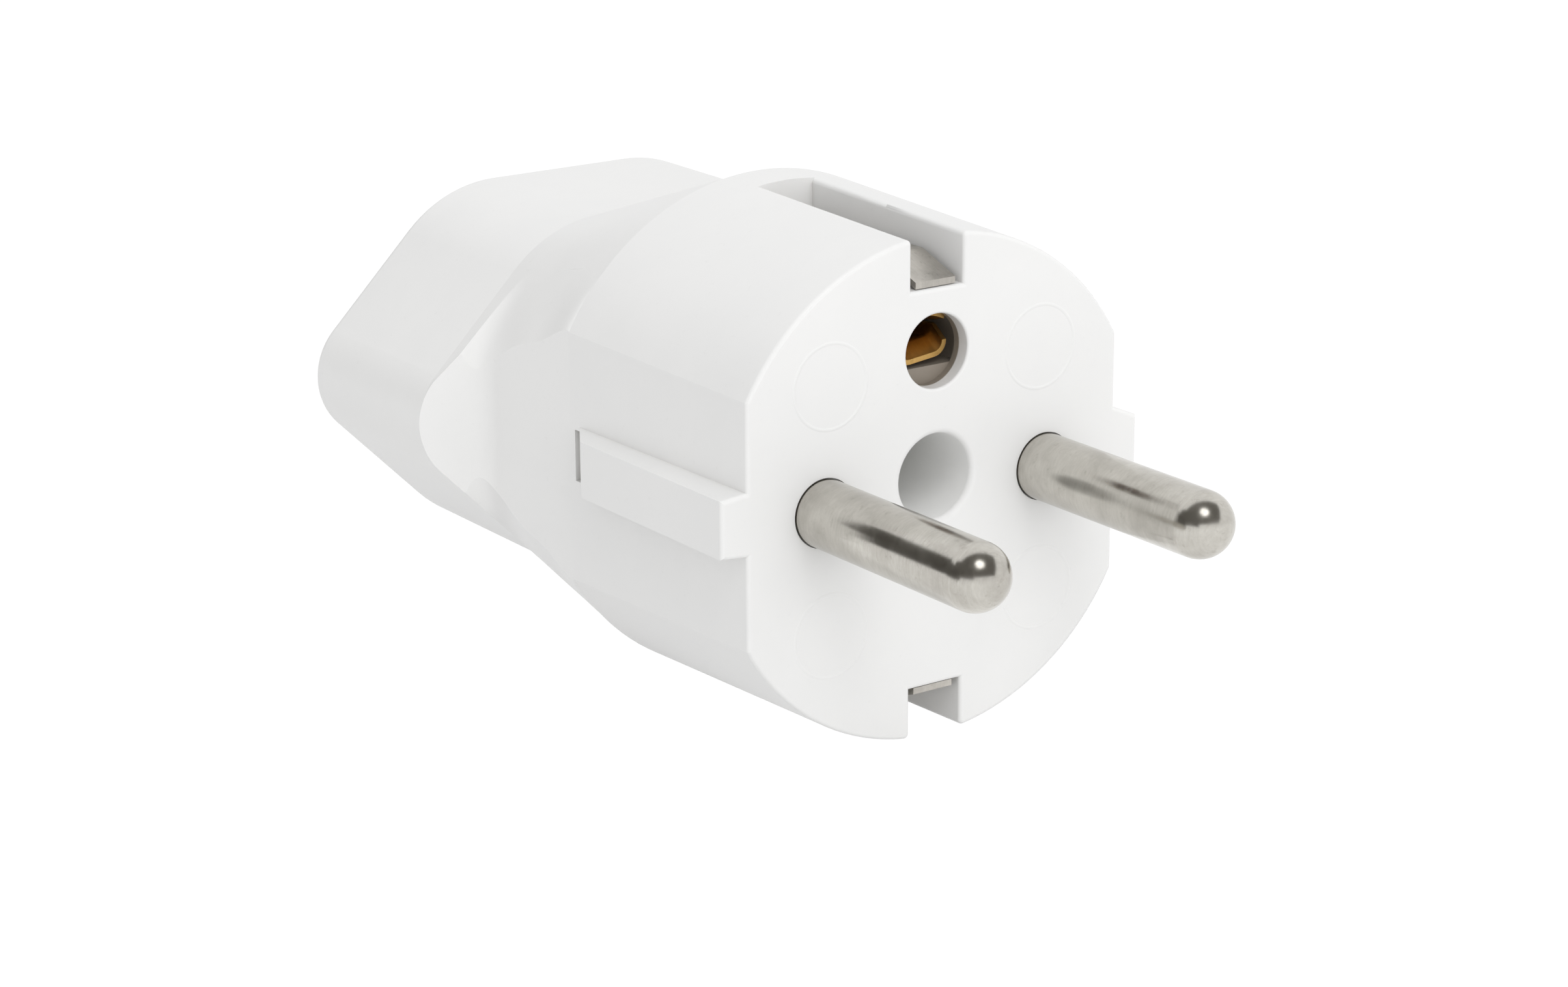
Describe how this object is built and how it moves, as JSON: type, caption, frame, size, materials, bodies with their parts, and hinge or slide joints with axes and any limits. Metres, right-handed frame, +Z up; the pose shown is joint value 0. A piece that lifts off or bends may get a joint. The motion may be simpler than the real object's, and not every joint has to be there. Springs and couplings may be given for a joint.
{
  "type": "travel adapter",
  "caption": "Travel adapter with a round earthed plug and pins at the front, finger scoops at the sides and a flat hexagonal recessed socket at the back.",
  "frame": {"origin": "on the plug's front face, midway between the axes of the two pins", "axes": "-Y is the way the pins point and +Y runs along the body to the socket; +Z is up, with the earth hole above the pins; +X is to the right seen from the pins"},
  "size_m": [0.044, 0.0685, 0.0376],
  "materials": {
    "housing_plastic": "white moulded plastic with a fine satin surface",
    "pin_nickel": "satin nickel plating",
    "strap_nickel": "nickel plated spring strip",
    "contact_brass": "bare stamped brass",
    "ring_steel": "spring steel",
    "screw_steel": "zinc plated, slightly yellow"
  },
  "bodies": {
    "root": {"plug_body": "housing_plastic", "rear_housing": "housing_plastic", "line_pin": "pin_nickel", "neutral_pin": "pin_nickel", "earth_strap": "strap_nickel", "earth_contact": "contact_brass", "line_sleeve": "contact_brass", "neutral_sleeve": "contact_brass", "earth_sleeve": "contact_brass", "line_spring_ring": "ring_steel", "neutral_spring_ring": "ring_steel", "earth_spring_ring": "ring_steel", "body_screw": "screw_steel"}
  },
  "joints": []
}
